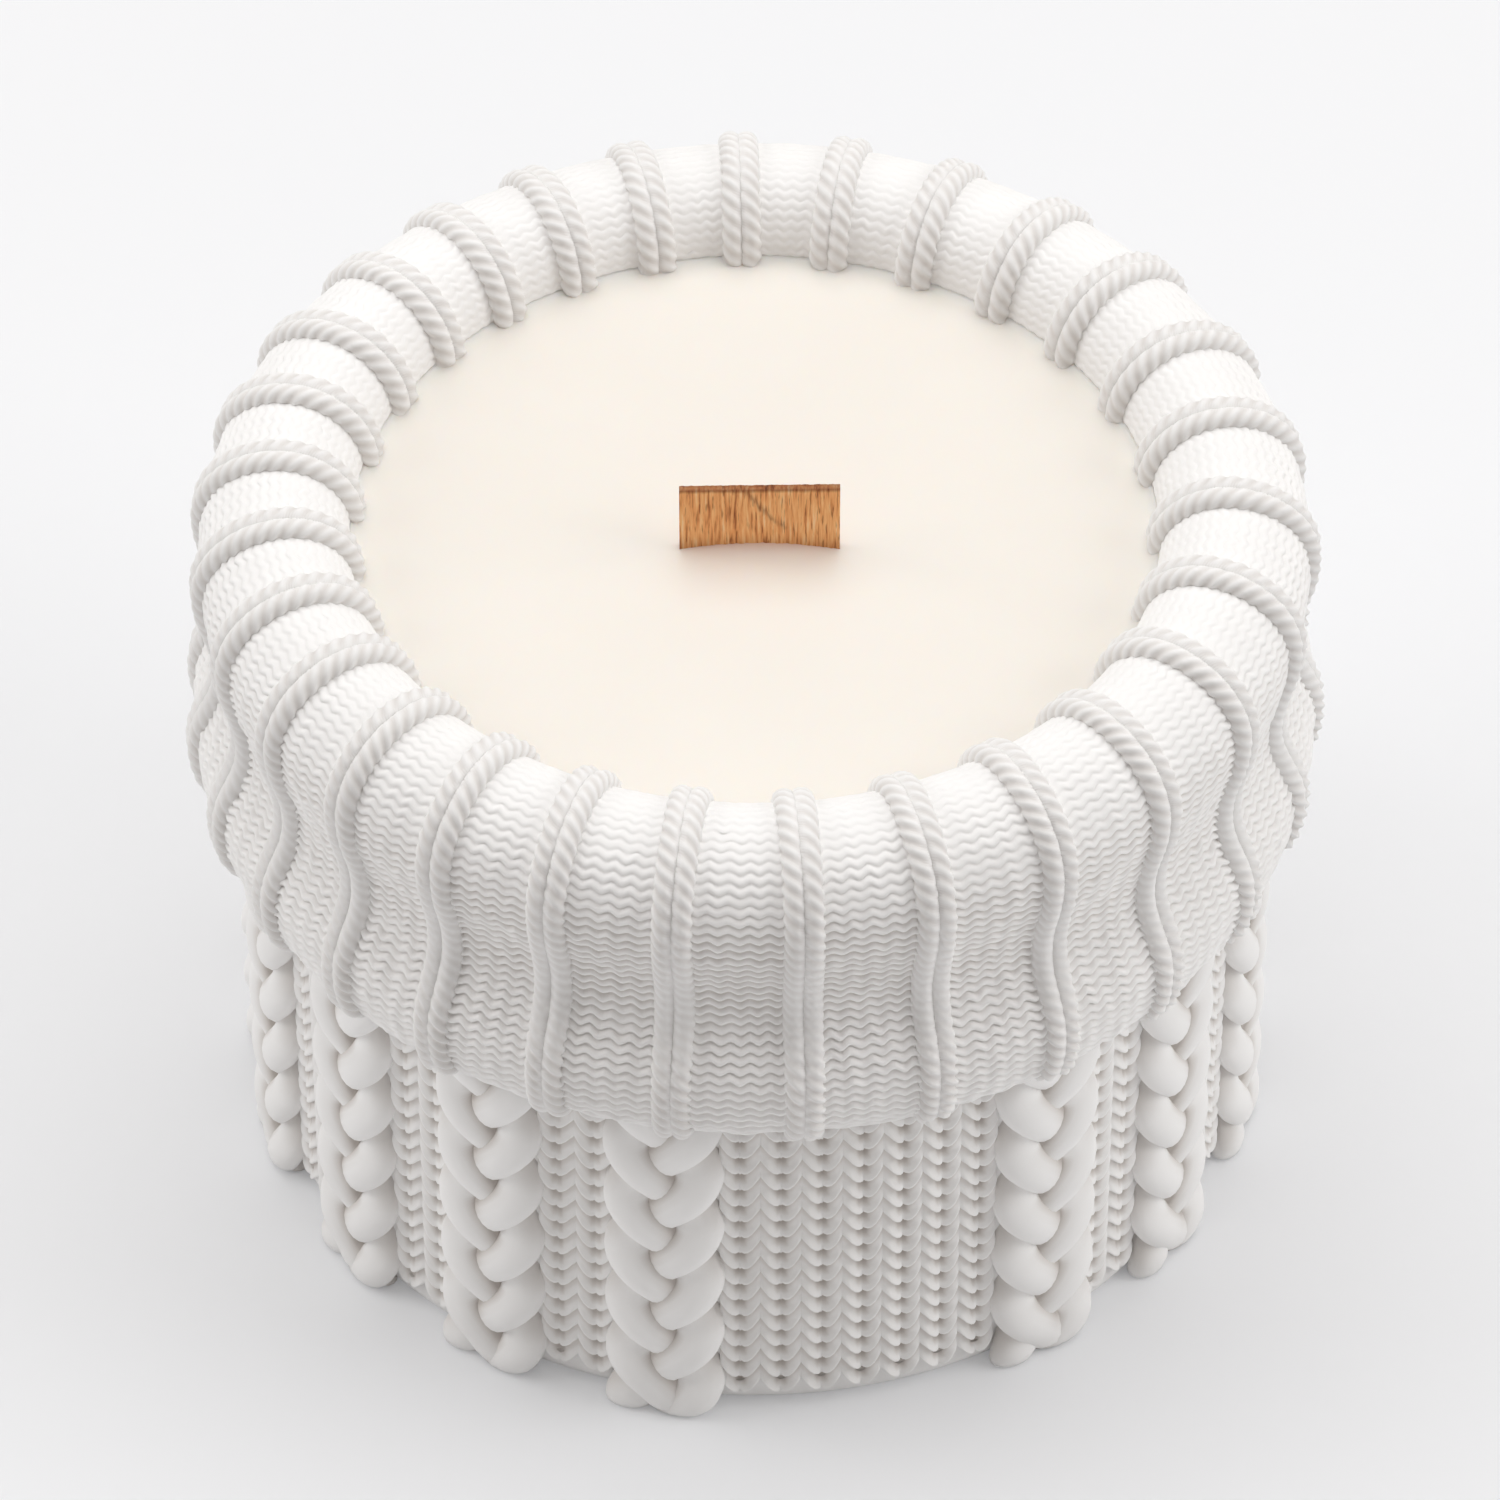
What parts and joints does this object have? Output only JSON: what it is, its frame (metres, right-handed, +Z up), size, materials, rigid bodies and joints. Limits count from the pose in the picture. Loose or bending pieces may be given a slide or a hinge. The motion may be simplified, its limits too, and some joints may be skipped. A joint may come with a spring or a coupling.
{
  "type": "container candle",
  "caption": "Round cast pot moulded as cable knit with a folded cuff, filled with cream wax and lit by a flat wooden wick slat.",
  "frame": {"origin": "centre of the pot's flat base, on the surface it stands on", "axes": "+Z up along the pot's axis, +X along the wick slat's width, -Y towards the wide plain knit panel at the front"},
  "size_m": [0.1158, 0.1157, 0.0825],
  "materials": {
    "cast_plaster": "matte white cast plaster",
    "wax": "smooth cream wax with a soft sheen",
    "wick_wood": "thin sawn slat with fine upright fibres",
    "clip_steel": "plated stamped sheet",
    "sticker_foam": "double-sided adhesive foam"
  },
  "bodies": {
    "root": {"pot": "cast_plaster", "cuff_cords": "cast_plaster", "cable_braids": "cast_plaster", "stitch_panels": "cast_plaster", "wax_fill": "wax", "wooden_wick": "wick_wood", "wick_clip": "clip_steel", "wick_sticker": "sticker_foam"}
  },
  "joints": []
}
